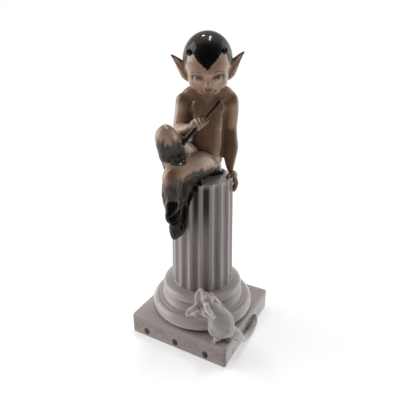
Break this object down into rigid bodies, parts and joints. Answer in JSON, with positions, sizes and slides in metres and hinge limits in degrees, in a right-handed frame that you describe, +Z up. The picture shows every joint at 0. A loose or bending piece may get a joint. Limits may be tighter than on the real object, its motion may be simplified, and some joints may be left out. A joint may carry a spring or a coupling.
{
  "type": "faun statue",
  "caption": "Glazed porcelain figurine of a seated boy faun with a flute on a fluted column, with a small animal on the square plinth.",
  "frame": {"origin": "centre of the square plinth's underside", "axes": "+Z up, -Y out of the plinth's front, +X to the right seen from the front"},
  "size_m": [0.0833, 0.08, 0.2162],
  "materials": {
    "glazed_porcelain": "clear glossy glaze over porcelain, underglaze colours from pale warm grey to brown and near black"
  },
  "bodies": {
    "root": {"faun_on_column": "glazed_porcelain"}
  },
  "joints": []
}
